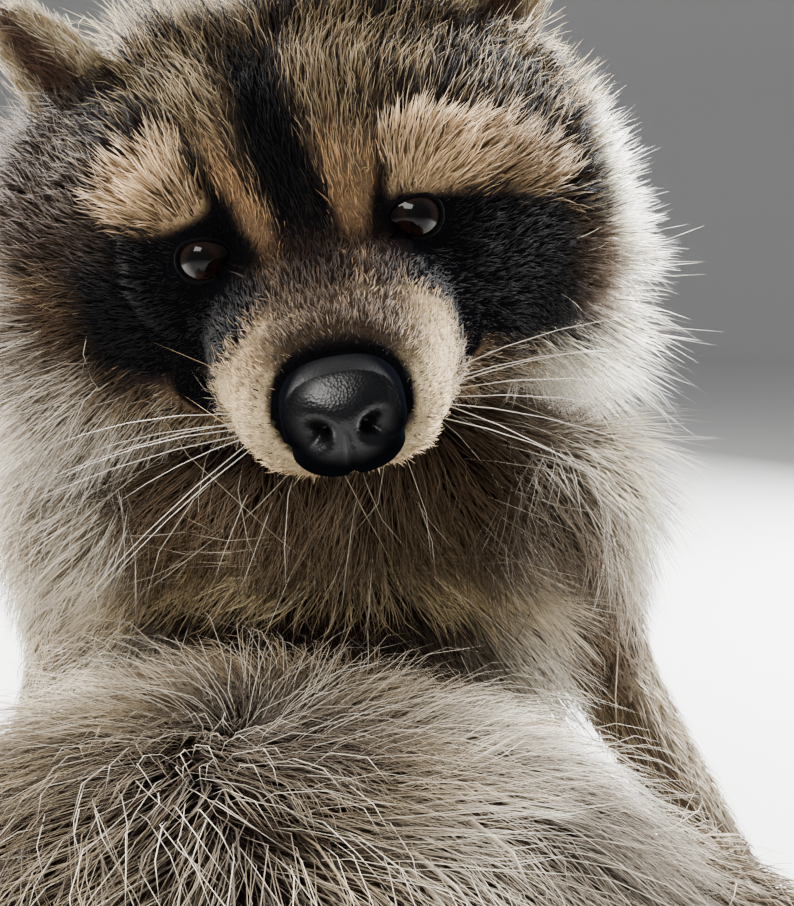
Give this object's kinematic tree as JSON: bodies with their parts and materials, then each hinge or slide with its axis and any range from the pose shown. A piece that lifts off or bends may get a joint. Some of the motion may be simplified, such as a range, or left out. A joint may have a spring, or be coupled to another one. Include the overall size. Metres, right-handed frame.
{
  "type": "raccoon",
  "caption": "Life-size still model of a fat adult raccoon sitting upright on its rump, belly out, forelegs beside it, ringed tail curled behind.",
  "frame": {"origin": "on the floor, on the flat of the belly and seat, midway between the hips", "axes": "-Z down to the floor, -Y the way the animal faces, +X its left side"},
  "size_m": [0.4234, 0.4502, 0.3583],
  "materials": {
    "face_coat": "short dense fur, black mask, cream brows and muzzle",
    "coat": "grizzled grey-brown fur",
    "belly_coat": "long pale guard hairs over brown underfur",
    "tail_coat": "bushy fur with dark rings",
    "ear": "short pale fur, dark inside",
    "paw": "short fur, bare dark soles",
    "claw": "dull horn",
    "eye": "wet gloss",
    "nose": "damp, finely pebbled"
  },
  "bodies": {
    "root": {"head": "face_coat", "lower_jaw": "face_coat", "nose": "nose", "eye_left": "eye", "eye_right": "eye", "ear_left": "ear", "ear_right": "ear", "neck": "coat", "chest": "coat", "rump": "coat", "belly": "belly_coat", "upper_arm_left": "coat", "forearm_left": "coat", "forepaw_left": "paw", "upper_arm_right": "coat", "forearm_right": "coat", "forepaw_right": "paw", "thigh_left": "coat", "shank_left": "coat", "hind_foot_left": "paw", "thigh_right": "coat", "shank_right": "coat", "hind_foot_right": "paw", "tail_1": "tail_coat", "tail_2": "tail_coat", "tail_3": "tail_coat", "tail_4": "tail_coat"}
  },
  "joints": []
}
